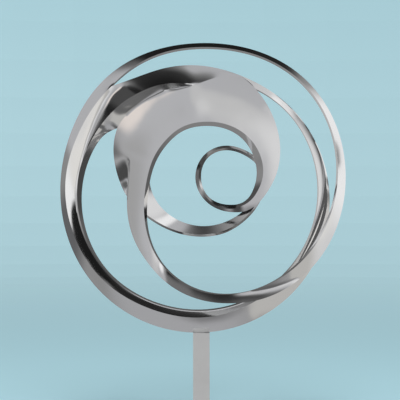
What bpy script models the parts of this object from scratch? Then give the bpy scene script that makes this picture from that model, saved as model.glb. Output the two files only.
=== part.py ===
"""Polished steel spiral sculpture on a square post and a low base plate.

The sculpture is one band that winds clockwise, seen from the front, through four turns round
one eye.  The outer band starts at the top of the crescent, runs right round as the outermost
loop, splits into a thin ring and a wing, and the ring runs round once more into the crescent.
The inner band leaves the crescent as the small ring and comes back to it from behind.

X points right, Y points away from the viewer and Z points up.  The origin lies on the floor
under the middle of the post, which is also the middle of the base plate's underside.
"""
import math

import bmesh
import bpy
import numpy as np

MM = 0.001

# Overall layout
EYE_HEIGHT = 0.866          # height of the point that the band winds round
EYE_X = 0.006               # where the eye lies, seen from the middle of the post
EYE_Y = -0.020
LIP_FLAT = 0.15             # share of the hollow side that its flat lip takes up
GROOVE = 0.08               # depth of the groove beside the crescent, as a share of its width
GROOVE_PLACE = 0.72         # how far across the groove its bottom runs
SMALL_RING_SHIFT = 0.091    # how far right of the eye the small ring is centred
STATIONS = 72               # sections in one turn
DOME_RADIUS = 0.55          # crown of the broad front faces

# Post and base plate
POST_WIDTH = 0.060
POST_SEAM_HEIGHT = 0.124
POST_SEAM_DEPTH = 0.0008
POST_SEAM_WIDTH = 0.0016
BASE_WIDTH = 0.400
BASE_THICKNESS = 0.020
BASE_EDGE = 0.0015
GAP = 0.0003

SHARP_ANGLE = math.radians(20)

# Edges of the band, as {turn: (radius from the eye, depth)} in millimetres.  A turn counts
# clockwise from the top, so 1.25 is the right side of the second winding.  Depth grows away
# from the viewer.
RIM = {
    0.875: (470, -22), 0.8889: (453, -19), 0.9375: (426, -11), 1.0: (409, 0), 1.0556: (398, 3),
    1.125: (407, 12), 1.25: (457, 30), 1.375: (525, 34), 1.5: (564, 10), 1.625: (556, -2),
    1.75: (517, -14), 1.8125: (508, -9), 1.875: (509, 3), 2.0: (493, 9), 2.125: (518, 1),
    2.25: (519, -10), 2.375: (508, -30), 2.4028: (498, -42), 2.4306: (485, -51),
    2.4583: (468, -54), 2.5: (443, -48), 2.5625: (393, -45), 2.5903: (368, -34),
    2.625: (342, -29), 2.6875: (298, -26), 2.75: (272, -26), 2.7917: (278, -25),
}
RIM_BACK = {
    0.8333: (440, 20), 0.875: (468, -6), 0.8889: (451, -4), 0.9375: (422, 4), 1.0: (405, 13),
    1.125: (400, 27), 1.25: (448, 40), 1.375: (513, 46), 1.5: (563, 34), 1.625: (546, 32),
    1.75: (500, 36), 1.8125: (492, 33), 1.875: (494, 28), 2.0: (489, 17), 2.125: (514, 9),
    2.25: (510, -1), 2.375: (497, -18), 2.5: (436, -28), 2.625: (335, -16), 2.75: (268, -2),
}
RIDGE = {
    1.1111: (402, 12), 1.1875: (425, 20), 1.25: (450, 25), 1.3125: (457, 23), 1.375: (470, 12),
    1.4375: (488, -2), 1.5: (507, -14), 1.5625: (512, -22), 1.625: (518, -28), 1.6875: (510, -36),
    1.75: (496, -45), 1.8125: (476, -40), 1.8472: (472, -32), 1.875: (470, -22),
}
LIP = {
    1.0833: (377, 2), 1.125: (387, 8), 1.25: (420, 16), 1.3125: (439, 15), 1.375: (457, 9),
    1.4375: (474, 3), 1.5: (484, -4), 1.5625: (489, -9), 1.625: (489, -12),
    1.6875: (475, -14), 1.75: (454, -15),
    1.8125: (423, -20), 1.8472: (408, -31), 1.875: (396, -40), 1.9028: (383, -44),
    1.9375: (368, -38), 1.9722: (346, -31), 1.9861: (338, -25),
}
LIP_BACK = {
    1.0833: (374, 16), 1.125: (385, 22), 1.25: (417, 34), 1.375: (454, 26), 1.5: (480, 14),
    1.5625: (485, 10), 1.625: (485, 10), 1.6875: (466, 12), 1.75: (436, 14), 1.8056: (403, 8),
    1.8194: (390, 4), 1.8333: (361, -7),
}
INNER = {
    1.875: (470, -22), 1.9375: (478, -19), 2.0: (476, -12), 2.125: (500, -20), 2.25: (488, -32),
    2.375: (463, -48), 2.4375: (443, -40), 2.5: (414, -34), 2.5625: (357, -31),
    2.625: (286, -30), 2.6875: (231, -31), 2.75: (202, -32), 2.8125: (193, -32),
    2.875: (192, -32), 2.9375: (199, -32), 3.0: (203, -32),
    3.125: (220, -30), 3.1875: (223, -28), 3.25: (216, -26), 3.3125: (188, -22), 3.375: (143, -17),
    3.4375: (118, -12), 3.5: (112, -8), 3.625: (106, -2), 3.75: (107, 2), 3.875: (111, 7),
    4.0: (110, 15), 4.125: (117, 27), 4.1875: (132, 33), 4.25: (155, 37), 4.3125: (188, 39),
    4.375: (207, 38), 4.4375: (208, 36), 4.5: (206, 32), 4.5625: (213, 29), 4.625: (230, 24),
    4.6875: (264, 12), 4.7222: (292, 6),
}
INNER_BACK = {
    1.875: (468, -6), 1.9375: (473, 6), 2.0: (471, 12), 2.125: (495, 6), 2.25: (484, -6),
    2.375: (459, -22), 2.4375: (443, -16), 2.5: (410, -6), 2.5625: (352, 0), 2.625: (279, 4),
    2.6875: (219, 8), 2.75: (191, 11), 2.8125: (181, 13), 2.875: (180, 14), 2.9375: (187, 15),
    3.0: (190, 15), 3.125: (203, 16), 3.1875: (201, 16), 3.25: (195, 14), 3.3125: (175, 12),
    3.375: (132, 10), 3.4375: (105, 10), 3.5: (97, 10), 3.625: (98, 11), 3.75: (98, 14),
    3.875: (104, 19), 4.0: (102, 27), 4.125: (107, 39), 4.1875: (121, 46), 4.25: (144, 51),
    4.3125: (172, 52), 4.375: (184, 50), 4.4375: (179, 48), 4.5: (176, 46), 4.5625: (177, 43),
    4.625: (183, 38), 4.6875: (191, 26), 4.7361: (196, 11),
}
COIL = {
    3.0556: (398, 3), 3.0833: (378, -4), 3.125: (346, -15), 3.1875: (303, -23), 3.25: (261, -25),
    3.3125: (217, -21), 3.375: (168, -15), 3.4375: (135, -10), 3.5: (123, -6), 3.625: (117, 1),
    3.75: (119, 7), 3.875: (121, 11), 4.0: (119, 19), 4.125: (125, 32), 4.1875: (141, 40),
    4.25: (165, 45), 4.3125: (198, 47), 4.375: (215, 46), 4.4375: (217, 44), 4.5: (215, 42),
    4.5625: (221, 38), 4.625: (238, 33), 4.6875: (270, 18), 4.7222: (292, 6), 4.75: (308, -3),
    4.8125: (351, -8), 4.8333: (361, -7), 4.875: (357, -10), 4.9375: (338, -20),
    4.9861: (338, -25), 5.0139: (362, -12), 5.0556: (398, 3),
}
COIL_BACK = {
    3.0833: (374, 16), 3.125: (342, -4), 3.1875: (298, -11), 3.25: (256, -12), 3.3125: (212, -9),
    3.375: (164, -4), 3.5: (119, 4), 3.625: (113, 10), 3.75: (115, 16), 3.875: (117, 22),
    4.0: (115, 30), 4.125: (121, 43), 4.1875: (138, 50), 4.25: (161, 56), 4.3125: (194, 60),
    4.375: (207, 60), 4.5: (202, 58), 4.625: (226, 48), 4.6875: (258, 32), 4.75: (298, 13),
    4.8125: (342, 4), 4.875: (345, 8), 5.0: (335, 13), 5.0833: (374, 16),
}

# Where the edges of the band run together, as (edge, station): (edge, station)
SAME_POINT = {
    ("ridge", 135): ("rim", 63), ("inner", 135): ("rim", 63), ("heel", 135): ("rim_back", 63),
    ("ridge", 80): ("rim", 80), ("notch_foot", 76): ("rim", 76), ("coil", 364): ("rim", 76),
    ("notch_foot", 78): ("lip", 78), ("coil", 365): ("coil", 221),
    ("coil", 366): ("coil", 222), ("lip", 143): ("coil", 359),
    ("coil_back", 366): ("coil_back", 222), ("lip_back", 78): ("coil_back", 222),
    ("lip_back", 132): ("coil", 348), ("inner", 340): ("coil", 340), ("heel", 341): ("heel", 197),
    ("step_foot", 197): ("rim_back", 197), ("step_foot", 201): ("rim", 201),
    ("merge", 197): ("rim", 197), ("merge", 198): ("rim", 198), ("merge", 199): ("rim", 199),
    ("merge", 200): ("rim", 200), ("merge", 201): ("rim", 201), ("merge", 218): ("coil", 362),
    ("wall 2", 341): ("rim_back", 197), ("wall 1", 341): ("joint 1", 341),
}


def natural_spline(knots, values):
    """Return the smooth curve through the values, as a function of the knots' coordinate."""
    steps = np.diff(knots)
    slopes = np.diff(values) / steps
    system = np.eye(len(knots))
    bends = np.zeros(len(knots))
    for i in range(1, len(knots) - 1):
        system[i, i - 1:i + 2] = steps[i - 1], 2 * (steps[i - 1] + steps[i]), steps[i]
        bends[i] = 6 * (slopes[i] - slopes[i - 1])
    bends = np.linalg.solve(system, bends)

    def curve(at):
        i = int(np.clip(np.searchsorted(knots, at) - 1, 0, len(steps) - 1))
        after = (at - knots[i]) / steps[i]
        before = 1 - after
        bow = (before**3 - before) * bends[i] + (after**3 - after) * bends[i + 1]
        return before * values[i] + after * values[i + 1] + bow * steps[i]**2 / 6

    return curve


def ease(value, start, end):
    """Rise smoothly from 0 at start to 1 at end."""
    share = min(max((value - start) / (end - start), 0.0), 1.0)
    return share * share * (3 - 2 * share)


def spline_pair(table):
    """Return the radius and the depth of one edge as two smooth curves."""
    turns = np.array(sorted(table))
    return [natural_spline(turns, np.array([table[turn][i] for turn in turns])) for i in (0, 1)]


EDGES = {
    "rim": spline_pair(RIM), "rim_back": spline_pair(RIM_BACK), "ridge": spline_pair(RIDGE),
    "lip": spline_pair(LIP), "lip_back": spline_pair(LIP_BACK), "inner": spline_pair(INNER),
    "heel": spline_pair(INNER_BACK), "coil": spline_pair(COIL), "coil_back": spline_pair(COIL_BACK),
}


def pole_shift(turn):
    """How far right of the eye the band's centre lies: the small ring has its own."""
    return SMALL_RING_SHIFT * (ease(turn, 3.27, 3.50) - ease(turn, 4.15, 4.42))


def on_edge(name, station):
    """The point of one edge at a station."""
    turn = station / STATIONS
    radius, depth = (curve(turn) * MM for curve in EDGES[name])
    angle = 2 * math.pi * turn
    x = pole_shift(turn) + radius * math.sin(angle)
    return np.array([x, depth, radius * math.cos(angle)])


def on_dome(station, share):
    """A point of the crescent's crowned front, a share of the way out from its inner edge."""
    near = on_edge("inner", station)
    far = on_edge("coil", station + 2 * STATIONS)
    point = near + (far - near) * share
    width = np.linalg.norm((far - near)[[0, 2]])
    point[1] -= share * (1 - share) * width**2 / (2 * DOME_RADIUS)
    return point


def merge_share(station):
    """How far out on the crescent's front the end of the limb's outer edge has run."""
    return 0.58 + 0.42 * ease(station, 200, 218)


def on_step(name, station):
    """The point of one of the lines that are laid out between two of the edges."""
    if name == "merge":
        return on_dome(station, merge_share(station))
    if name == "notch_foot":
        return (on_edge("rim", station) + on_edge("lip", station + 1)) / 2
    share = (station - 197) / 4
    start = on_edge("rim_back", 197)
    end = on_edge("rim", 201)
    point = start + (end - start) * share
    point[0] += 0.004 * math.sin(math.pi * share)
    return point


def crowned(first, last, share):
    """A point between two edges on a front face that swells like the crescent's."""
    point = first + (last - first) * share
    width = np.linalg.norm(last - first)
    point[1] -= share * (1 - share) * width**2 / (2 * DOME_RADIUS)
    return point


def folded(first, last, share, valley, fold):
    """A point between two edges where two facets meet in a valley, a share of the way across."""
    point = crowned(first, last, share)
    width = np.linalg.norm(last - first)
    point[1] += fold * width * min(share * (1 - valley), valley * (1 - share))
    return point


def flat(first, last, share):
    """A point on the straight line between two edges."""
    return first + (last - first) * share


class Skin:
    """The closed skin of the band, put together from strips that share their points."""

    def __init__(self):
        self.mesh = bmesh.new()
        self.points = {}

    def point(self, name, station, place=None):
        """Return the mesh point of an edge or inner line at a station, made once."""
        name, station = SAME_POINT.get((name, station), (name, station))
        if (name, station) not in self.points:
            if place is None:
                place = on_edge(name, station) if name in EDGES else on_step(name, station)
            self.points[name, station] = self.mesh.verts.new(place)
        return self.points[name, station]

    def row(self, line, station, first, last, shares=(), shape=flat):
        """Return the points across a strip, from one edge over its inner lines to the other."""
        start, end = self.point(*first), self.point(*last)
        if start is end:
            return [start] * (len(shares) + 2)
        ends = np.array(start.co), np.array(end.co)
        inside = [self.point(f"{line} {i + 1}", station, shape(*ends, share))
                  for i, share in enumerate(shares)]
        return [start, *inside, end]

    def cover(self, rows):
        """Fill the space between successive rows with faces, closing them where points meet."""
        for near, far in zip(rows, rows[1:]):
            for i in range(len(near) - 1):
                self.face([near[i], near[i + 1], far[i + 1], far[i]])

    def face(self, corners):
        """Add one face, leaving out corners that coincide."""
        corners = [corner for i, corner in enumerate(corners) if corner is not corners[i - 1]]
        if len(corners) > 2:
            self.mesh.faces.new(corners)

    def strip(self, start, end, first, last, first_ahead=0, last_ahead=0):
        """Cover a strip one face wide between two edges, each a fixed number of stations ahead."""
        self.cover([self.row("", station, (first, station + first_ahead), (last, station + last_ahead))
                    for station in range(start, end + 1)])


def front_faces(skin):
    """The broad front of the outer loop, the crescent and the inner band, four faces wide."""
    rows = []
    for station in range(80, 341):
        if station < 135:
            first, last = ("ridge", station), ("rim", station)
        elif station < 197:
            first, last = ("inner", station), ("rim", station)
        elif station < 218:
            first, last = ("inner", station), ("merge", station)
        elif station < 222:
            first, last = ("inner", station), ("coil", station + 2 * STATIONS)
        else:
            first, last = ("inner", station), ("coil", station)
        valley = min(max((176.5 - station) / 5.5, 0), 1)

        def shape(start, end, share):
            return folded(start, end, share, valley, 0.86)

        rows.append(skin.row("front", station, first, last, (0.25, 0.5, 0.75), shape))
    skin.cover(rows)


def trough_faces(skin):
    """The hollow inner side of the outer loop, from the notch round to the crescent's top."""
    hollow = natural_spline(np.array([1.04, 1.15, 1.28, 1.4, 1.5, 1.75, 1.81, 1.875, 1.95, 1.99, 2.03]),
                            np.array([0, 0, -0.04, 0, 0.02, 0.045, 0.02, 0.02, 0.035, 0.045, 0.0]))
    rows = []
    for station in range(76, 149):
        if station < 78:
            first, last = ("notch_foot", station), ("rim", station)
        elif station < 80:
            first, last = ("lip", station), ("rim", station)
        elif station < 135:
            first, last = ("lip", station), ("ridge", station)
        elif station < 143:
            first, last = ("lip", station), ("rim", station - STATIONS)
        else:
            first, last = ("coil", station + 3 * STATIONS), ("rim", station - STATIONS)
        depth = hollow(station / STATIONS)
        valley = min(max((station - 127.5) / 8.5, 0), 1)
        level = ease(station, 98, 106) * (1 - ease(station, 122, 129))

        def sunk(start, end, share):
            point = folded(start, end, share, valley, 1.1)
            point[1] += depth * np.linalg.norm(end - start) * 4 * share * (1 - share)
            point[1] += (start - end)[1] * LIP_FLAT / (1 - LIP_FLAT) * (1 - share) * level
            return point

        rows.append(skin.row("trough", station, first, last, (LIP_FLAT, 0.36, 0.57, 0.78), sunk))
    skin.cover(rows)


def groove_faces(skin):
    """The groove between the end of the lip and the crescent, up to the point where they meet."""
    rows = []
    for station in range(133, 144):
        deep = GROOVE * (ease(station, 133, 137) + 3 * ease(station, 138, 141))

        def sunk(start, end, share):
            point = flat(start, end, share)
            point[1] += deep * np.linalg.norm(end - start)
            return point

        ends = ("lip", station), ("coil", station + 3 * STATIONS)
        rows.append(skin.row("groove", station, *ends, (GROOVE_PLACE,), sunk))
    skin.cover(rows)
    skin.face([skin.point("lip", 132), skin.point("coil", 348), skin.point("coil", 349),
               skin.point("groove 1", 133), skin.point("lip", 133)])


def joint_faces(skin):
    """The inner band's front where it runs on behind the limb and up into the crescent."""
    rows = []
    for station in range(341, 363):
        line = "step_foot" if station < 345 else "merge"
        first, last = (line, station - 2 * STATIONS), ("coil", station)
        rows.append(skin.row("joint", station, first, last, (0.5,), crowned))
    skin.cover(rows)


def inner_wall(skin):
    """The wall inside the loops, which broadens into the face of the inner band."""
    rows = []
    for station in range(135, 342):
        first = ("inner", station) if station < 341 else ("coil", station)
        shift = ease(station, 322, 341)
        shares = (0.33 - 0.21 * shift, 0.67 - 0.43 * shift)
        rows.append(skin.row("wall", station, first, ("heel", station), shares))
    skin.cover(rows)


def spiral_mesh():
    """Cover the whole band and return its mesh."""
    skin = Skin()
    inner_wall(skin)
    front_faces(skin)
    trough_faces(skin)
    groove_faces(skin)
    joint_faces(skin)
    # The lip's own wall, and the two steps where a loop ends on the face of the next
    skin.strip(78, 132, "lip", "lip_back")
    skin.strip(197, 201, "rim", "step_foot")
    skin.strip(76, 78, "coil", "notch_foot", 4 * STATIONS, 0)
    # Outer walls
    skin.face([skin.point("rim", 63), skin.point("wall 1", 135), skin.point("wall 2", 135),
               skin.point("rim_back", 63), skin.point("rim_back", 64), skin.point("rim", 64)])
    skin.strip(64, 197, "rim", "rim_back")
    skin.strip(222, 348, "coil", "coil_back")
    # Back faces
    skin.strip(135, 197, "heel", "rim_back")
    skin.strip(222, 341, "heel", "coil_back")
    skin.strip(197, 222, "heel", "coil_back", 0, 2 * STATIONS)
    skin.strip(60, 78, "coil_back", "rim_back", 4 * STATIONS, 0)
    skin.strip(78, 132, "lip_back", "rim_back")
    skin.strip(132, 135, "rim_back", "rim_back", -STATIONS, 0)
    skin.face([skin.point("coil", 348), skin.point("coil_back", 348),
               skin.point("rim_back", 60), skin.point("rim_back", 132)])
    skin.face([skin.point("coil", 366), skin.point("lip", 78), skin.point("coil_back", 366)])
    bmesh.ops.recalc_face_normals(skin.mesh, faces=skin.mesh.faces)
    return skin.mesh


def block_mesh(width, bottom, top, edge):
    """Return a square upright block, centred on its own axis, with its edges broken."""
    mesh = bmesh.new()
    bmesh.ops.create_cube(mesh, size=1.0)
    bmesh.ops.scale(mesh, verts=mesh.verts, vec=(width, width, top - bottom))
    bmesh.ops.translate(mesh, verts=mesh.verts, vec=(0, 0, (top + bottom) / 2))
    bmesh.ops.bevel(mesh, geom=mesh.edges, offset=edge, affect="EDGES", segments=1,
                    profile=0.5, material=-1)
    return mesh


def post_mesh(top):
    """Return the square post with the fine joint line that runs round it near its foot."""
    half = POST_WIDTH / 2
    groove = half - POST_SEAM_DEPTH
    low, high = POST_SEAM_HEIGHT, POST_SEAM_HEIGHT + POST_SEAM_WIDTH
    levels = [(BASE_THICKNESS + GAP, half), (low, half), (low, groove),
              (high, groove), (high, half), (top, half)]
    mesh = bmesh.new()
    rings = [[mesh.verts.new((x * reach, y * reach, height))
              for x, y in ((1, 1), (-1, 1), (-1, -1), (1, -1))] for height, reach in levels]
    for lower, upper in zip(rings, rings[1:]):
        for i in range(4):
            mesh.faces.new((lower[i], lower[i - 3], upper[i - 3], upper[i]))
    mesh.faces.new(rings[0])
    mesh.faces.new(rings[-1])
    bmesh.ops.recalc_face_normals(mesh, faces=mesh.faces)
    return mesh


def material(name, color, metallic, roughness):
    """Return a plain Principled material."""
    made = bpy.data.materials.new(name)
    made.use_nodes = True
    shader = made.node_tree.nodes["Principled BSDF"]
    shader.inputs["Base Color"].default_value = (*color, 1.0)
    shader.inputs["Metallic"].default_value = metallic
    shader.inputs["Roughness"].default_value = roughness
    return made


def add_piece(name, mesh, finish, place=(0.0, 0.0, 0.0)):
    """Make a named object of the finished mesh."""
    data = bpy.data.meshes.new(name)
    mesh.to_mesh(data)
    mesh.free()
    data.materials.append(finish)
    data.shade_smooth()
    data.set_sharp_from_angle(angle=SHARP_ANGLE)
    piece = bpy.data.objects.new(name, data)
    piece.location = place
    bpy.context.scene.collection.objects.link(piece)
    return piece


def build():
    """Make the sculpture, its post and its base plate."""
    for old in list(bpy.data.objects):
        bpy.data.objects.remove(old)
    polished = material("polished_steel", (0.72, 0.72, 0.73), 1.0, 0.06)
    painted = material("grey_post", (0.43, 0.44, 0.44), 0.0, 0.45)
    plate = material("base_plate", (0.36, 0.37, 0.37), 0.0, 0.5)

    spiral = spiral_mesh()
    underside = min(vert.co.z for vert in spiral.verts)
    add_piece("spiral_sculpture", spiral, polished, (EYE_X, EYE_Y, EYE_HEIGHT))
    add_piece("post", post_mesh(EYE_HEIGHT + underside - GAP), painted)
    add_piece("base", block_mesh(BASE_WIDTH, 0.0, BASE_THICKNESS, BASE_EDGE), plate)


build()
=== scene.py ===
import math

import bmesh
import bpy
import numpy as np
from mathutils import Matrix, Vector


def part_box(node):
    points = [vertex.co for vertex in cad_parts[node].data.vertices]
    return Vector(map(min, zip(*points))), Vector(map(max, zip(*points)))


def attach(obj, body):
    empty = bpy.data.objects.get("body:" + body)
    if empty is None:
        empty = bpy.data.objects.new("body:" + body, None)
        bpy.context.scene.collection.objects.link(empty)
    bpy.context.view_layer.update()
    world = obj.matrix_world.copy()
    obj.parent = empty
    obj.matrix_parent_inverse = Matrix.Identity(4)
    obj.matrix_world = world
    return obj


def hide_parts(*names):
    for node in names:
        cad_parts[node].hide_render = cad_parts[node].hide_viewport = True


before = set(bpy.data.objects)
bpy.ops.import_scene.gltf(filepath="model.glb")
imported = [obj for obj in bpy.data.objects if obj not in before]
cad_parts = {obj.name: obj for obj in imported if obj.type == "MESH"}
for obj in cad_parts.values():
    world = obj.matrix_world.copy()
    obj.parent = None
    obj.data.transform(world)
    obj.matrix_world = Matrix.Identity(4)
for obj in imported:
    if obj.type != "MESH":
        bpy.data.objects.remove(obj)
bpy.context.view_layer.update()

# A winding band of polished steel on a painted post, in a plain pale studio.  Lengths are in
# metres where nothing else is said.

MM = 0.001

# The winding band
EYE_HEIGHT = 0.866          # height of the point that the band winds round
EYE_X = 0.006               # where the eye lies, seen from the middle of the post
EYE_Y = -0.020
SMALL_RING_SHIFT = 0.091    # how far right of the eye the small ring is centred
SHIFT_GROWS = 3.27, 3.50    # turns over which the centre moves to the small ring's own
SHIFT_ENDS = 4.15, 4.42     # turns over which it moves back
STATIONS = 72               # sections in one turn
DOME_RADIUS = 0.55          # crown of the broad front faces
LIP_FLAT = 0.15             # share of the trough's width that its flat lip takes up
FRONT_LINES = 0.25, 0.50, 0.75              # where lines run along the front, from edge to edge
TROUGH_LINES = LIP_FLAT, 0.36, 0.57, 0.78   # where lines run along the trough
FRONT_FOLD = 0.86           # how steeply two facets meet in the valley across the limb
TROUGH_FOLD = 1.1           # how steeply they meet in the valley across the trough
GROOVE = 0.08               # depth of the groove beside the crescent, as a share of its width
GROOVE_DROP = 3             # how many times that depth it drops further near its end
GROOVE_PLACE = 0.72         # how far across the groove its bottom runs
STEP_BULGE = 0.004          # how far the foot of the limb's end bulges to the right
SMOOTHING = 2               # rounds of subdivision that make the polished surface

# Stations where the edges of the band begin, end or meet.  A turn has 72, so the band's windings
# start at 0, 72, 144, 216 and 288.
RIM_START = 60              # the outer edge begins, behind the end of the lip
NOTCH = 76                  # the outer loop parts from the crescent's edge
LIP_START = 78
RIDGE_START = 80
LIP_WALL_END = 132          # the lip's own wall runs out, and the groove begins
RIDGE_END = 135             # the ridge runs out, and the inner edge begins
LIP_END = 143               # the lip runs out on the crescent
TROUGH_END = 148            # the trough closes at the notch
RIM_END = 197               # the limb's outer wall runs out on the inner band
STEP_END = 201
MERGE_END = 218             # the limb's edge has melted into the crescent
COIL_START = 222            # the crescent's outer edge stands free
INNER_END = 341             # the inner band passes behind the limb
COIL_END = 348              # its outer wall runs out at the groove
CREASE_END = 355            # the crescent's edge melts into its front
COIL_TIP = 364              # it is back at the notch
RIDGE_TIP = RIDGE_END - STATIONS    # where on the rim the ridge runs out

# Stations between which something grows, fades or crosses the band
FLAT_GROWS = 98, 106        # the lip turns flat
FLAT_FADES = 122, 129       # and rounds off again
GROOVE_OPENS = 133, 137
GROOVE_DROPS = 138, 141
TROUGH_VALLEY = 127.5, 136.0    # a valley crosses the trough, from the lip to the rim
FRONT_VALLEY = 176.5, 171.0     # a valley crosses the limb, from the inner edge to the rim
WALL_BROADENS = 322, 341    # the inner wall turns into the face of the inner band
LIMB_MERGES = 200, 218

# Edges
SHARP_FROM = 0.95           # creases this strong also break the shading
STEEP = math.radians(50)    # other folds steeper than this are crisp

# Finishes
STEEL_DARK = (0.80, 0.80, 0.81, 1.0)
STEEL_LIGHT = (0.84, 0.84, 0.84, 1.0)
STEEL_WAVE = 0.0012         # height of the faint waves in the polish
POST_GREY = (0.570, 0.575, 0.575)
PLATE_GREY = (0.500, 0.505, 0.505)
PAINT_MOTTLE = 0.04         # how much lighter and darker the paint gets
PAINT_GRAIN = 0.0002        # height of the grain in the paint
BUMP_STRENGTH = 0.3

# View
VIEW_DISTANCE = 5.0
VIEW_WIDTH = 1.456          # width of the view at the eye's distance
VIEW_LEFT = 0.0111          # how far left of the sculpture's middle the camera stands
VIEW_BELOW = 0.0445         # how far below it
VIEW_FAR = 100.0
SENSOR = 36.0               # width of the camera's sensor, in its own millimetres

# Room
FLOOR_REACH = 8.0           # how far out the flat floor runs
FLOOR_CURVE = 4.0           # radius of the floor's curve up into the wall
CURVE_STEPS = 12
ROUND_STEPS = 96            # sides of the round wall
ROOM_HEIGHT = 12.0
BACKDROP = (0.42, 0.63, 0.69, 1.0)
# Painted shade: the backdrop's colour higher up the wall, darker than its own pale blue
BACKDROP_SHADED_TOP = (0.35, 0.55, 0.61, 1.0)
# Painted shade: the floor's colour near the middle, darker to even out the lamp's pool of light
# there
BACKDROP_SHADED_FLOOR = (0.29, 0.455, 0.505, 1.0)
BACKDROP_GLOW = 0.65        # its own light, so that the lamps leave no mark on it
WALL_BLEND = 0.5, 5.0       # heights between which the wall takes its darker upper colour, a painted shade
FLOOR_BLEND = 1.0, 9.0      # distances over which the floor's painted shade near the middle gives way to the wall's colour

# Light
ROOM_LIGHT = 0.30           # light between the panels
LAMP_PLACE = (0.0, -2.5, 5.0)
LAMP_AIM = (0.0, 0.0, 0.7)
LAMP_SIZE = 3.0
LAMP_POWER = 250.0

# Tints of the light
NEUTRAL = (1.0, 1.0, 1.0)
BEIGE = (1.02, 1.0, 0.96)
LILAC = (0.985, 0.99, 1.02)
PEACH = (1.08, 0.99, 0.93)

# Panels of light and shade round the sculpture, each over the ones before it: (bearing in degrees
# from straight up, clockwise from the front; angle off the viewer's side; angular radius of the
# even middle; angular radius at the outside of its soft edge; brightness; tint)
PANELS = [
    (0, 180, 25, 80, 0.24, NEUTRAL),    # dim wall behind
    (66, 150, 22, 40, 0.12, NEUTRAL),   # dark corner behind, upper right
    (-36, 136, 20, 34, 0.08, NEUTRAL),  # dark ceiling behind
    (-95, 152, 6, 26, 0.5, NEUTRAL),    # grey wall behind, left
    (150, 122, 8, 34, 0.22, BEIGE),     # dim floor behind, right
    (134, 93, 9, 20, 0.12, NEUTRAL),    # dark edge of the floor, right
    (185, 56, 14, 38, 0.42, LILAC),     # light floor
    (152, 93, 14, 24, 0.16, NEUTRAL),   # shade on the floor, right
    (148, 74, 7, 14, 0.15, NEUTRAL),    # shade on the floor, nearer
    (-172, 99, 14, 26, 0.14, NEUTRAL),  # shade on the floor, left
    (-106, 98, 10, 28, 0.14, LILAC),    # dark wall, lower left
    (-60, 82, 22, 32, 0.5, LILAC),      # light wall, upper left
    (0, 0, 24, 44, 0.52, LILAC),        # light wall in front
    (26, 36, 5, 12, 0.5, LILAC),        # light patch above
    (-100, 22, 5, 20, 0.4, NEUTRAL),    # shade in front, left
    (28, 18, 4, 13, 0.6, NEUTRAL),      # lighter middle of the front light
    (88, 23, 5, 23, 0.8, NEUTRAL),      # bright patch in front, right
    (118, 62, 26, 28, 0.53, BEIGE),     # light patch, lower right
    (112, 80, 8, 24, 0.72, NEUTRAL),    # brighter patch, lower right
    (76, 86, 18, 38, 0.97, NEUTRAL),    # white screen on the right
    (106, 61, 7, 16, 0.82, BEIGE),      # the screen's lower corner
    (-135, 32, 7, 17, 0.07, NEUTRAL),   # dark strip below, left
    (168, 33, 8, 20, 0.13, NEUTRAL),    # dark strip below
    (-85, 46, 6, 16, 0.15, NEUTRAL),    # dark gap on the left
    (102, 114, 17, 30, 0.07, NEUTRAL),  # dark edge behind the screen
    (5, 82, 29, 45, 0.032, NEUTRAL),    # black canopy overhead
    (-4, 68, 14, 20, 0.032, NEUTRAL),   # the canopy's front
    (-2, 104, 20, 28, 0.015, NEUTRAL),  # the canopy's back
    (19, 104, 10, 22, 0.02, NEUTRAL),   # the canopy's back, right
    (-2, 84, 18, 34, 0.012, NEUTRAL),   # the canopy's darkest part
    (34, 60, 9, 15, 0.02, NEUTRAL),     # the canopy's right end
    (-55, 56, 12, 17, 0.014, NEUTRAL),  # the canopy's left end
    (-36, 57, 9, 14, 0.014, NEUTRAL),   # the canopy's front left corner
    (61, 55, 10, 15, 0.012, NEUTRAL),   # black flag, upper right
    (54, 64, 9, 14, 0.012, NEUTRAL),    # the flag's top
    (82, 53, 7, 12, 0.05, NEUTRAL),     # the flag's lower end
    (71, 66, 13, 17, 0.012, NEUTRAL),   # the flag's far side
    (42, 52, 4, 9, 0.02, NEUTRAL),      # the canopy's front right tip
    (179, 90, 14, 27, 0.04, NEUTRAL),   # black floor behind
    (-44, 46, 8, 12, 0.07, NEUTRAL),    # dark strip over the warm lamp
    (31, 49, 4, 9, 0.18, NEUTRAL),      # grey gap beside the light patch above
    (145, 63, 4, 9, 0.13, NEUTRAL),     # grey gap in the low light
    (-50, 33, 3, 9, 0.8, PEACH),        # warm lamp, upper left
    (46, 34, 2, 8, 1.0, NEUTRAL),       # small bright lamp
]

# Edges of the band, as {turn: (radius from the eye, depth)} in millimetres.  A turn counts
# clockwise from the top, so 1.25 is the right side of the second winding.  Depth grows away
# from the viewer.

# Outer edge of the outer loop, from the trough's end round twice to the limb's end
RIM = {
    0.875: (470, -22), 0.8889: (453, -19), 0.9375: (426, -11), 1.0: (409, 0), 1.0556: (398, 3),
    1.125: (407, 12), 1.25: (457, 30), 1.375: (525, 34), 1.5: (564, 10), 1.625: (556, -2),
    1.75: (517, -14), 1.8125: (508, -9), 1.875: (509, 3), 2.0: (493, 9), 2.125: (518, 1),
    2.25: (519, -10), 2.375: (508, -30), 2.4028: (498, -42), 2.4306: (485, -51),
    2.4583: (468, -54), 2.5: (443, -48), 2.5625: (393, -45), 2.5903: (368, -34),
    2.625: (342, -29), 2.6875: (298, -26), 2.75: (272, -26), 2.7917: (278, -25),
}
RIM_BACK = {
    0.8333: (440, 20), 0.875: (468, -6), 0.8889: (451, -4), 0.9375: (422, 4), 1.0: (405, 13),
    1.125: (400, 27), 1.25: (448, 40), 1.375: (513, 46), 1.5: (563, 34), 1.625: (546, 32),
    1.75: (500, 36), 1.8125: (492, 33), 1.875: (494, 28), 2.0: (489, 17), 2.125: (514, 9),
    2.25: (510, -1), 2.375: (497, -18), 2.5: (436, -28), 2.625: (335, -16), 2.75: (268, -2),
}

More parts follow.
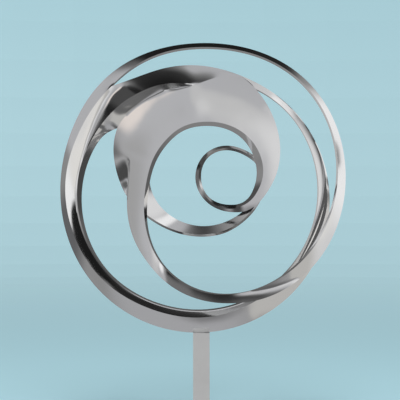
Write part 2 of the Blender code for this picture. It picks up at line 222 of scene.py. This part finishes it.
# Line along which the outer loop's front turns down into the trough
RIDGE = {
    1.1111: (402, 12), 1.1875: (425, 20), 1.25: (450, 25), 1.3125: (457, 23), 1.375: (470, 12),
    1.4375: (488, -2), 1.5: (507, -14), 1.5625: (512, -22), 1.625: (518, -28), 1.6875: (510, -36),
    1.75: (496, -45), 1.8125: (476, -40), 1.8472: (472, -32), 1.875: (470, -22),
}

# Inner edge of the trough
LIP = {
    1.0833: (377, 2), 1.125: (387, 8), 1.25: (420, 16), 1.3125: (439, 15), 1.375: (457, 9),
    1.4375: (474, 3), 1.5: (484, -4), 1.5625: (489, -9), 1.625: (489, -12),
    1.6875: (475, -14), 1.75: (454, -15),
    1.8125: (423, -20), 1.8472: (408, -31), 1.875: (396, -40), 1.9028: (383, -44),
    1.9375: (368, -38), 1.9722: (346, -31), 1.9861: (338, -25),
}
LIP_BACK = {
    1.0833: (374, 16), 1.125: (385, 22), 1.25: (417, 34), 1.375: (454, 26), 1.5: (480, 14),
    1.5625: (485, 10), 1.625: (485, 10), 1.6875: (466, 12), 1.75: (436, 14), 1.8056: (403, 8),
    1.8194: (390, 4), 1.8333: (361, -7),
}

# Inner edge of the limb, the crescent, the small ring and the inner band
INNER = {
    1.875: (470, -22), 1.9375: (478, -19), 2.0: (476, -12), 2.125: (500, -20), 2.25: (488, -32),
    2.375: (463, -48), 2.4375: (443, -40), 2.5: (414, -34), 2.5625: (357, -31),
    2.625: (286, -30), 2.6875: (231, -31), 2.75: (202, -32), 2.8125: (193, -32),
    2.875: (192, -32), 2.9375: (199, -32), 3.0: (203, -32),
    3.125: (220, -30), 3.1875: (223, -28), 3.25: (216, -26), 3.3125: (188, -22), 3.375: (143, -17),
    3.4375: (118, -12), 3.5: (112, -8), 3.625: (106, -2), 3.75: (107, 2), 3.875: (111, 7),
    4.0: (110, 15), 4.125: (117, 27), 4.1875: (132, 33), 4.25: (155, 37), 4.3125: (188, 39),
    4.375: (207, 38), 4.4375: (208, 36), 4.5: (206, 32), 4.5625: (213, 29), 4.625: (230, 24),
    4.6875: (264, 12), 4.7222: (292, 6),
}
INNER_BACK = {
    1.875: (468, -6), 1.9375: (473, 6), 2.0: (471, 12), 2.125: (495, 6), 2.25: (484, -6),
    2.375: (459, -22), 2.4375: (443, -16), 2.5: (410, -6), 2.5625: (352, 0), 2.625: (279, 4),
    2.6875: (219, 8), 2.75: (191, 11), 2.8125: (181, 13), 2.875: (180, 14), 2.9375: (187, 15),
    3.0: (190, 15), 3.125: (203, 16), 3.1875: (201, 16), 3.25: (195, 14), 3.3125: (175, 12),
    3.375: (132, 10), 3.4375: (105, 10), 3.5: (97, 10), 3.625: (98, 11), 3.75: (98, 14),
    3.875: (104, 19), 4.0: (102, 27), 4.125: (107, 39), 4.1875: (121, 46), 4.25: (144, 51),
    4.3125: (172, 52), 4.375: (184, 50), 4.4375: (179, 48), 4.5: (176, 46), 4.5625: (177, 43),
    4.625: (183, 38), 4.6875: (191, 26), 4.7361: (196, 11),
}

# Outer edge of the crescent, the small ring and the inner band
COIL = {
    3.0556: (398, 3), 3.0833: (378, -4), 3.125: (346, -15), 3.1875: (303, -23), 3.25: (261, -25),
    3.3125: (217, -21), 3.375: (168, -15), 3.4375: (135, -10), 3.5: (123, -6), 3.625: (117, 1),
    3.75: (119, 7), 3.875: (121, 11), 4.0: (119, 19), 4.125: (125, 32), 4.1875: (141, 40),
    4.25: (165, 45), 4.3125: (198, 47), 4.375: (215, 46), 4.4375: (217, 44), 4.5: (215, 42),
    4.5625: (221, 38), 4.625: (238, 33), 4.6875: (270, 18), 4.7222: (292, 6), 4.75: (308, -3),
    4.8125: (351, -8), 4.8333: (361, -7), 4.875: (357, -10), 4.9375: (338, -20),
    4.9861: (338, -25), 5.0139: (362, -12), 5.0556: (398, 3),
}
COIL_BACK = {
    3.0833: (374, 16), 3.125: (342, -4), 3.1875: (298, -11), 3.25: (256, -12), 3.3125: (212, -9),
    3.375: (164, -4), 3.5: (119, 4), 3.625: (113, 10), 3.75: (115, 16), 3.875: (117, 22),
    4.0: (115, 30), 4.125: (121, 43), 4.1875: (138, 50), 4.25: (161, 56), 4.3125: (194, 60),
    4.375: (207, 60), 4.5: (202, 58), 4.625: (226, 48), 4.6875: (258, 32), 4.75: (298, 13),
    4.8125: (342, 4), 4.875: (345, 8), 5.0: (335, 13), 5.0833: (374, 16),
}

# How hollow the trough is, as {turn: share of its width}.  Less than 0 swells.
HOLLOW = {
    1.04: 0.0, 1.15: 0.0, 1.28: -0.04, 1.4: 0.0, 1.5: 0.02, 1.75: 0.045, 1.81: 0.02,
    1.875: 0.02, 1.95: 0.035, 1.99: 0.045, 2.03: 0.0,
}

# Where the edges of the band run together, as (edge, station): (edge, station)
SAME_POINT = {
    ("ridge", RIDGE_START): ("rim", RIDGE_START),
    ("ridge", RIDGE_END): ("rim", RIDGE_TIP),
    ("inner", RIDGE_END): ("rim", RIDGE_TIP),
    ("heel", RIDGE_END): ("rim_back", RIDGE_TIP),
    ("notch_foot", NOTCH): ("rim", NOTCH),
    ("notch_foot", LIP_START): ("lip", LIP_START),
    ("lip_back", LIP_START): ("coil_back", COIL_START),
    ("lip_back", LIP_WALL_END): ("coil", COIL_END),
    ("lip", LIP_END): ("coil", LIP_END + 3 * STATIONS),
    ("coil", COIL_TIP): ("rim", NOTCH),
    ("coil", COIL_TIP + 1): ("coil", COIL_START - 1),
    ("coil", COIL_TIP + 2): ("coil", COIL_START),
    ("coil_back", COIL_TIP + 2): ("coil_back", COIL_START),
    ("inner", INNER_END - 1): ("coil", INNER_END - 1),
    ("heel", INNER_END): ("heel", RIM_END),
    ("wall 1", INNER_END): ("joint 1", INNER_END),
    ("wall 2", INNER_END): ("rim_back", RIM_END),
    ("step_foot", RIM_END): ("rim_back", RIM_END),
    ("step_foot", STEP_END): ("rim", STEP_END),
    ("merge", MERGE_END): ("coil", MERGE_END + 2 * STATIONS),
}
for meeting in range(RIM_END, STEP_END + 1):
    SAME_POINT["merge", meeting] = "rim", meeting


def natural_spline(knots, values):
    """Return the smooth curve through the values, as a function of the knots' coordinate."""
    steps = np.diff(knots)
    slopes = np.diff(values) / steps
    system = np.eye(len(knots))
    bends = np.zeros(len(knots))
    for i in range(1, len(knots) - 1):
        system[i, i - 1:i + 2] = steps[i - 1], 2 * (steps[i - 1] + steps[i]), steps[i]
        bends[i] = 6 * (slopes[i] - slopes[i - 1])
    bends = np.linalg.solve(system, bends)

    def curve(at):
        i = int(np.clip(np.searchsorted(knots, at) - 1, 0, len(steps) - 1))
        after = (at - knots[i]) / steps[i]
        before = 1 - after
        bow = (before**3 - before) * bends[i] + (after**3 - after) * bends[i + 1]
        return before * values[i] + after * values[i + 1] + bow * steps[i]**2 / 6

    return curve


def way(value, start, end):
    """Rise evenly from 0 at start to 1 at end."""
    return min(max((value - start) / (end - start), 0.0), 1.0)


def ease(value, start, end):
    """Rise smoothly from 0 at start to 1 at end."""
    share = way(value, start, end)
    return share * share * (3 - 2 * share)


def spline_pair(table):
    """Return the radius and the depth of one edge as two smooth curves."""
    turns = np.array(sorted(table))
    return [natural_spline(turns, np.array([table[turn][i] for turn in turns])) for i in (0, 1)]


EDGES = {
    "rim": spline_pair(RIM), "rim_back": spline_pair(RIM_BACK),
    "ridge": spline_pair(RIDGE),
    "lip": spline_pair(LIP), "lip_back": spline_pair(LIP_BACK),
    "inner": spline_pair(INNER), "heel": spline_pair(INNER_BACK),
    "coil": spline_pair(COIL), "coil_back": spline_pair(COIL_BACK),
}


def pole_shift(turn):
    """How far right of the eye the band's centre lies: the small ring has its own."""
    return SMALL_RING_SHIFT * (ease(turn, *SHIFT_GROWS) - ease(turn, *SHIFT_ENDS))


def on_edge(name, station):
    """The point of one edge at a station."""
    turn = station / STATIONS
    radius, depth = (curve(turn) * MM for curve in EDGES[name])
    angle = 2 * math.pi * turn
    x = pole_shift(turn) + radius * math.sin(angle)
    return np.array([x, depth, radius * math.cos(angle)])


def on_dome(station, share):
    """A point of the crescent's crowned front, a share of the way out from its inner edge."""
    near = on_edge("inner", station)
    far = on_edge("coil", station + 2 * STATIONS)
    point = near + (far - near) * share
    width = np.linalg.norm((far - near)[[0, 2]])
    point[1] -= share * (1 - share) * width**2 / (2 * DOME_RADIUS)
    return point


def merge_share(station):
    """How far out on the crescent's front the end of the limb's outer edge has run."""
    return 0.58 + 0.42 * ease(station, *LIMB_MERGES)


def on_step(name, station):
    """The point of one of the lines that are laid out between two of the edges."""
    if name == "merge":
        return on_dome(station, merge_share(station))
    if name == "notch_foot":
        return (on_edge("rim", station) + on_edge("lip", station + 1)) / 2
    share = way(station, RIM_END, STEP_END)
    start = on_edge("rim_back", RIM_END)
    end = on_edge("rim", STEP_END)
    point = start + (end - start) * share
    point[0] += STEP_BULGE * math.sin(math.pi * share)
    return point


def crowned(first, last, share):
    """A point between two edges on a front face that swells like the crescent's."""
    point = first + (last - first) * share
    width = np.linalg.norm(last - first)
    point[1] -= share * (1 - share) * width**2 / (2 * DOME_RADIUS)
    return point


def folded(first, last, share, valley, fold):
    """A point between two edges where two facets meet in a valley, a share of the way across."""
    point = crowned(first, last, share)
    width = np.linalg.norm(last - first)
    point[1] += fold * width * min(share * (1 - valley), valley * (1 - share))
    return point


def flat(first, last, share):
    """A point on the straight line between two edges."""
    return first + (last - first) * share


class Skin:
    """The closed skin of the band, put together from strips that share their points.

    Its edges part, run together and end on each other's faces, which a spin or an extruded section
    can't follow, so the strips between them are laid one by one.
    """

    def __init__(self):
        self.mesh = bmesh.new()
        self.mesh.edges.layers.float.new("crease_edge")
        self.points = {}

    def point(self, name, station, place=None):
        """Return the mesh point of an edge or inner line at a station, made once."""
        name, station = SAME_POINT.get((name, station), (name, station))
        if (name, station) not in self.points:
            if place is None:
                place = on_edge(name, station) if name in EDGES else on_step(name, station)
            self.points[name, station] = self.mesh.verts.new(place)
        return self.points[name, station]

    def row(self, line, station, first, last, shares=(), shape=flat):
        """Return the points across a strip, from one edge over its inner lines to the other."""
        start, end = self.point(*first), self.point(*last)
        if start is end:
            return [start] * (len(shares) + 2)
        ends = np.array(start.co), np.array(end.co)
        inside = [self.point(f"{line} {i + 1}", station, shape(*ends, share))
                  for i, share in enumerate(shares)]
        return [start, *inside, end]

    def cover(self, rows):
        """Fill the space between successive rows with faces, closing them where points meet."""
        for near, far in zip(rows, rows[1:]):
            for i in range(len(near) - 1):
                self.face([near[i], near[i + 1], far[i + 1], far[i]])

    def face(self, corners):
        """Add one face, leaving out corners that coincide."""
        corners = [corner for i, corner in enumerate(corners) if corner is not corners[i - 1]]
        if len(corners) > 2:
            self.mesh.faces.new(corners)

    def strip(self, start, end, first, last, first_ahead=0, last_ahead=0):
        """Cover a strip one face wide between two edges, each a fixed number of stations ahead."""
        self.cover([
            self.row("", station, (first, station + first_ahead), (last, station + last_ahead))
            for station in range(start, end + 1)])

    def crease(self, name, start, end, fade_in=0, fade_out=0):
        """Keep an edge crisp from one station to another, fading at the ends where it dies out."""
        layer = self.mesh.edges.layers.float["crease_edge"]
        for station in range(start, end):
            ends = self.point(name, station), self.point(name, station + 1)
            edge = self.mesh.edges.get(ends)
            strength = 1.0
            if fade_in:
                strength *= min((station + 0.5 - start) / fade_in, 1.0)
            if fade_out:
                strength *= min((end - station - 0.5) / fade_out, 1.0)
            edge[layer] = strength
            edge.smooth = strength < SHARP_FROM


def front_faces(skin):
    """The broad front of the outer loop, the crescent and the inner band, four faces wide."""
    rows = []
    for station in range(RIDGE_START, INNER_END):
        if station < RIDGE_END:
            first, last = ("ridge", station), ("rim", station)
        elif station < RIM_END:
            first, last = ("inner", station), ("rim", station)
        elif station < MERGE_END:
            first, last = ("inner", station), ("merge", station)
        elif station < COIL_START:
            first, last = ("inner", station), ("coil", station + 2 * STATIONS)
        else:
            first, last = ("inner", station), ("coil", station)
        valley = way(station, *FRONT_VALLEY)

        def shape(start, end, share):
            return folded(start, end, share, valley, FRONT_FOLD)

        rows.append(skin.row("front", station, first, last, FRONT_LINES, shape))
    skin.cover(rows)


def trough_faces(skin):
    """The hollow inner side of the outer loop, from the notch round to the crescent's top."""
    hollow = natural_spline(np.array(list(HOLLOW)), np.array(list(HOLLOW.values())))
    rows = []
    for station in range(NOTCH, TROUGH_END + 1):
        if station < LIP_START:
            first, last = ("notch_foot", station), ("rim", station)
        elif station < RIDGE_START:
            first, last = ("lip", station), ("rim", station)
        elif station < RIDGE_END:
            first, last = ("lip", station), ("ridge", station)
        elif station < LIP_END:
            first, last = ("lip", station), ("rim", station - STATIONS)
        else:
            first, last = ("coil", station + 3 * STATIONS), ("rim", station - STATIONS)
        depth = hollow(station / STATIONS)
        valley = way(station, *TROUGH_VALLEY)
        level = ease(station, *FLAT_GROWS) * (1 - ease(station, *FLAT_FADES))

        def sunk(start, end, share):
            point = folded(start, end, share, valley, TROUGH_FOLD)
            point[1] += depth * np.linalg.norm(end - start) * 4 * share * (1 - share)
            point[1] += (start - end)[1] * LIP_FLAT / (1 - LIP_FLAT) * (1 - share) * level
            return point

        rows.append(skin.row("trough", station, first, last, TROUGH_LINES, sunk))
    skin.cover(rows)


def groove_faces(skin):
    """The groove between the end of the lip and the crescent, up to the point where they meet."""
    rows = []
    begin = LIP_WALL_END + 1
    for station in range(begin, LIP_END + 1):
        deep = GROOVE * (ease(station, *GROOVE_OPENS) + GROOVE_DROP * ease(station, *GROOVE_DROPS))

        def sunk(start, end, share):
            point = flat(start, end, share)
            point[1] += deep * np.linalg.norm(end - start)
            return point

        ends = ("lip", station), ("coil", station + 3 * STATIONS)
        rows.append(skin.row("groove", station, *ends, (GROOVE_PLACE,), sunk))
    skin.cover(rows)
    skin.face([skin.point("lip", LIP_WALL_END), skin.point("coil", COIL_END),
               skin.point("coil", COIL_END + 1), skin.point("groove 1", begin),
               skin.point("lip", begin)])


def joint_faces(skin):
    """The inner band's front where it runs on behind the limb and up into the crescent."""
    rows = []
    for station in range(RIM_END, MERGE_END + 1):
        line = "step_foot" if station < STEP_END else "merge"
        behind = station + 2 * STATIONS
        rows.append(skin.row("joint", behind, (line, station), ("coil", behind), (0.5,), crowned))
    skin.cover(rows)


def inner_wall(skin):
    """The wall inside the loops, which broadens into the face of the inner band."""
    rows = []
    for station in range(RIDGE_END, INNER_END + 1):
        first = ("inner", station) if station < INNER_END else ("coil", station)
        shift = ease(station, *WALL_BROADENS)
        shares = (0.33 - 0.21 * shift, 0.67 - 0.43 * shift)
        rows.append(skin.row("wall", station, first, ("heel", station), shares))
    skin.cover(rows)


def band_skin():
    """Cover the whole band and return its skin."""
    skin = Skin()
    inner_wall(skin)
    front_faces(skin)
    trough_faces(skin)
    groove_faces(skin)
    joint_faces(skin)
    # The lip's own wall, and the two steps where a loop ends on the face of the next
    skin.strip(LIP_START, LIP_WALL_END, "lip", "lip_back")
    skin.strip(RIM_END, STEP_END, "rim", "step_foot")
    skin.strip(NOTCH, LIP_START, "coil", "notch_foot", 4 * STATIONS, 0)
    # Outer walls
    skin.face([skin.point("rim", RIDGE_TIP), skin.point("wall 1", RIDGE_END),
               skin.point("wall 2", RIDGE_END), skin.point("rim_back", RIDGE_TIP),
               skin.point("rim_back", RIDGE_TIP + 1), skin.point("rim", RIDGE_TIP + 1)])
    skin.strip(RIDGE_TIP + 1, RIM_END, "rim", "rim_back")
    skin.strip(COIL_START, COIL_END, "coil", "coil_back")
    # Back faces
    skin.strip(RIDGE_END, RIM_END, "heel", "rim_back")
    skin.strip(COIL_START, INNER_END, "heel", "coil_back")
    skin.strip(RIM_END, COIL_START, "heel", "coil_back", 0, 2 * STATIONS)
    skin.strip(RIM_START, LIP_START, "coil_back", "rim_back", 4 * STATIONS, 0)
    skin.strip(LIP_START, LIP_WALL_END, "lip_back", "rim_back")
    skin.strip(LIP_WALL_END, RIDGE_END, "rim_back", "rim_back", -STATIONS, 0)
    skin.face([skin.point("coil", COIL_END), skin.point("coil_back", COIL_END),
               skin.point("rim_back", RIM_START), skin.point("rim_back", LIP_WALL_END)])
    skin.face([skin.point("coil", COIL_TIP + 2), skin.point("lip", LIP_START),
               skin.point("coil_back", COIL_TIP + 2)])
    bmesh.ops.recalc_face_normals(skin.mesh, faces=skin.mesh.faces)
    for face in skin.mesh.faces:
        face.smooth = True
    return skin


def crease_band(skin):
    """Say which lines of the band are crisp edges and which melt into the surface."""
    skin.crease("rim", RIDGE_TIP, STEP_END, fade_out=6)
    skin.crease("rim_back", RIM_START, RIM_END, fade_in=3)
    skin.crease("ridge", RIDGE_START, RIDGE_END, fade_in=3)
    skin.crease("lip", LIP_START, LIP_END, fade_out=1)
    skin.crease("trough 1", FLAT_GROWS[0], FLAT_FADES[1], fade_in=6, fade_out=6)
    skin.crease("lip_back", LIP_START, LIP_WALL_END)
    skin.crease("inner", RIDGE_END, INNER_END - 1)
    skin.crease("heel", RIDGE_END, INNER_END)
    skin.crease("coil", COIL_START, CREASE_END, fade_out=5)
    skin.crease("coil", COIL_TIP, COIL_TIP + 2)
    skin.crease("coil_back", COIL_START, COIL_END)
    skin.crease("step_foot", RIM_END, STEP_END, fade_out=4)
    skin.crease("notch_foot", NOTCH, LIP_START)
    layer = skin.mesh.edges.layers.float["crease_edge"]
    for edge in skin.mesh.edges:
        if edge[layer] == 0 and edge.calc_face_angle() > STEEP:
            edge[layer] = 1.0
            edge.smooth = False


def finished(name, mesh, finish):
    """Make an object of a mesh, which is used up, and give it its finish."""
    data = bpy.data.meshes.new(name)
    mesh.to_mesh(data)
    mesh.free()
    data.materials.append(finish)
    made = bpy.data.objects.new(name, data)
    bpy.context.scene.collection.objects.link(made)
    return made


def make_band(finish):
    """Make the smooth polished band from its cage."""
    skin = band_skin()
    crease_band(skin)
    bmesh.ops.translate(skin.mesh, verts=skin.mesh.verts, vec=(EYE_X, EYE_Y, EYE_HEIGHT))
    band = finished("polished_band", skin.mesh, finish)
    smooth = band.modifiers.new("smooth", "SUBSURF")
    smooth.levels = smooth.render_levels = SMOOTHING
    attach(band, "root")
    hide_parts("spiral_sculpture")


class Signal:
    """A shader value or colour, on which Python's own operators work."""

    def __init__(self, tree, socket):
        self.tree = tree
        self.socket = socket

    def node(self, kind, settings=(), sockets=(), out=0):
        """Add a node with its settings and its sockets' values or links; return an output."""
        made = self.tree.nodes.new(kind)
        for name, value in dict(settings).items():
            setattr(made, name, value)
        for name, value in dict(sockets).items():
            if isinstance(value, Signal):
                self.tree.links.new(value.socket, made.inputs[name])
            else:
                made.inputs[name].default_value = value
        return Signal(self.tree, made.outputs[out])

    def math(self, operation, first, second):
        """Add one Math node."""
        return self.node("ShaderNodeMath", {"operation": operation}, {0: first, 1: second})

    def __add__(self, other):
        return self.math("ADD", self, other)

    def __radd__(self, other):
        return self.math("ADD", other, self)

    def __mul__(self, other):
        return self.math("MULTIPLY", self, other)

    def __rmul__(self, other):
        return self.math("MULTIPLY", other, self)

    def ramp(self, low, high):
        """Rise smoothly from 0 where this is low to 1 where it is high."""
        return self.node("ShaderNodeMapRange", {"interpolation_type": "SMOOTHSTEP"},
                         {"Value": self, "From Min": low, "From Max": high})

    def mix(self, first, second):
        """Go from one colour to another as this goes from 0 to 1."""
        return self.node("ShaderNodeMix", {"data_type": "RGBA"},
                         {0: self, 6: first, 7: second}, out=2)

    def noise(self, scale, detail):
        """Spread soft noise over this place, with a number of features in a metre."""
        return self.node("ShaderNodeTexNoise", {},
                         {"Vector": self, "Scale": scale, "Detail": detail})

    def bump(self, height):
        """Tilt the surface as if this were its relief, at a height in metres."""
        return self.node("ShaderNodeBump", {},
                         {"Height": self, "Strength": BUMP_STRENGTH, "Distance": height})


def new_material(name):
    """Return a material, its shader, and the place on the object as a signal to build on."""
    made = bpy.data.materials.new(name)
    made.use_nodes = True
    shader = made.node_tree.nodes["Principled BSDF"]
    place = Signal(made.node_tree, None).node("ShaderNodeTexCoord", out="Object")
    return made, shader, place


def feed(shader, name, signal):
    """Link a signal to one of the shader's sockets."""
    signal.tree.links.new(signal.socket, shader.inputs[name])


def polished_steel():
    """Mirror-polished stainless steel with the faint waves and haze of hand finishing."""
    made, shader, place = new_material("polished_steel")
    haze = place.noise(11.0, 4.0)
    grain = place.noise(420.0, 2.0)
    waves = place.noise(16.0, 1.0)
    shader.inputs["Metallic"].default_value = 1.0
    feed(shader, "Base Color", haze.mix(STEEL_DARK, STEEL_LIGHT))
    feed(shader, "Roughness", 0.06 + haze * 0.05 + grain * 0.02)
    feed(shader, "Normal", (waves + grain * 0.01).bump(STEEL_WAVE))
    return made


def grey_paint(name, color):
    """Smooth grey paint with a slight mottle and grain."""
    made, shader, place = new_material(name)
    mottle = place.noise(30.0, 4.0)
    grain = place.noise(600.0, 2.0)
    dark, light = ((*(part * share for part in color), 1.0)
                   for share in (1 - PAINT_MOTTLE, 1 + PAINT_MOTTLE))
    feed(shader, "Base Color", mottle.mix(dark, light))
    feed(shader, "Roughness", 0.44 + mottle * 0.12)
    feed(shader, "Normal", grain.bump(PAINT_GRAIN))
    return made


def paint_piece(node, finish):
    """Give a CAD piece its finish."""
    bpy.data.objects[node].material_slots[0].material = finish


def make_room():
    """Make the pale floor, which curves up into the wall all round."""
    profile = [(0.0, 0.0), (FLOOR_REACH, 0.0)]
    for step in range(1, CURVE_STEPS + 1):
        angle = step / CURVE_STEPS * math.pi / 2
        profile.append((FLOOR_REACH + FLOOR_CURVE * math.sin(angle),
                        FLOOR_CURVE * (1 - math.cos(angle))))
    profile.append((FLOOR_REACH + FLOOR_CURVE, ROOM_HEIGHT))
    floor = bmesh.new()
    line = [floor.verts.new((reach, 0, height)) for reach, height in profile]
    edges = [floor.edges.new(pair) for pair in zip(line, line[1:])]
    bmesh.ops.spin(floor, geom=line + edges, cent=(0, 0, 0), axis=(0, 0, 1), angle=2 * math.pi,
                   steps=ROUND_STEPS, use_merge=True)
    bmesh.ops.remove_doubles(floor, verts=floor.verts, dist=0.0001)

    made, shader, place = new_material("pale_backdrop")
    height = place.node("ShaderNodeSeparateXYZ", {}, {0: place}, out="Z")
    reach = place.node("ShaderNodeVectorMath", {"operation": "LENGTH"}, {0: place}, out="Value")
    # Painted shade: the wall is painted darker higher up
    wall = height.ramp(*WALL_BLEND).mix(BACKDROP, BACKDROP_SHADED_TOP)
    # Painted shade: the floor is painted darker near the middle, against the lamp's pool of light
    # there
    shaded_tone = reach.ramp(*FLOOR_BLEND).mix(BACKDROP_SHADED_FLOOR, wall)
    feed(shader, "Base Color", shaded_tone)
    feed(shader, "Emission Color", shaded_tone)
    shader.inputs["Emission Strength"].default_value = BACKDROP_GLOW
    shader.inputs["Roughness"].default_value = 0.9
    shader.inputs["Specular IOR Level"].default_value = 0.0

    room = finished("backdrop", floor, made)
    room.visible_glossy = False
    room.visible_diffuse = False
    room.visible_shadow = False


def toward(bearing, off):
    """Return the direction at an angle off the viewer's own side, at a clock bearing."""
    bearing, off = math.radians(bearing), math.radians(off)
    return math.sin(off) * math.sin(bearing), -math.cos(off), math.sin(off) * math.cos(bearing)


def make_panels():
    """Put soft-edged panels of light and shade all round the sculpture."""
    world = bpy.data.worlds.new("studio")
    bpy.context.scene.world = world
    world.use_nodes = True
    direction = Signal(world.node_tree, None).node("ShaderNodeTexCoord", out="Generated")
    light_all_round = (ROOM_LIGHT, ROOM_LIGHT, ROOM_LIGHT, 1.0)
    for bearing, off, inner, outer, light, tint in PANELS:
        nearness = direction.node("ShaderNodeVectorMath", {"operation": "DOT_PRODUCT"},
                                  {0: direction, 1: toward(bearing, off)}, out="Value")
        cover = nearness.ramp(math.cos(math.radians(outer)), math.cos(math.radians(inner)))
        color = (*(light * part for part in tint), 1.0)
        light_all_round = cover.mix(light_all_round, color)
    feed(world.node_tree.nodes["Background"], "Color", light_all_round)


def make_lamp():
    """Hang one soft square lamp above the front, which the steel doesn't mirror."""
    lamp = bpy.data.lights.new("top_lamp", "AREA")
    lamp.shape = "SQUARE"
    lamp.size = LAMP_SIZE
    lamp.energy = LAMP_POWER
    holder = bpy.data.objects.new("top_lamp", lamp)
    holder.location = LAMP_PLACE
    aim = Vector(LAMP_AIM) - Vector(LAMP_PLACE)
    holder.rotation_euler = aim.to_track_quat("-Z", "Y").to_euler()
    holder.visible_glossy = False
    bpy.context.scene.collection.objects.link(holder)


def make_camera():
    """Look level at the front of the sculpture."""
    low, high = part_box("spiral_sculpture")
    middle = [(near + far) / 2 for near, far in zip(low, high)]
    camera = bpy.data.cameras.new("view")
    camera.sensor_width = SENSOR
    camera.lens = SENSOR * VIEW_DISTANCE / VIEW_WIDTH
    camera.clip_end = VIEW_FAR
    holder = bpy.data.objects.new("view", camera)
    holder.location = (middle[0] - VIEW_LEFT, EYE_Y - VIEW_DISTANCE, middle[2] - VIEW_BELOW)
    holder.rotation_euler = (math.pi / 2, 0, 0)
    bpy.context.scene.collection.objects.link(holder)
    bpy.context.scene.camera = holder


make_band(polished_steel())
paint_piece("post", grey_paint("grey_post", POST_GREY))
paint_piece("base", grey_paint("base_plate", PLATE_GREY))
make_room()
make_panels()
make_lamp()
make_camera()
bpy.context.scene.view_settings.view_transform = "Standard"
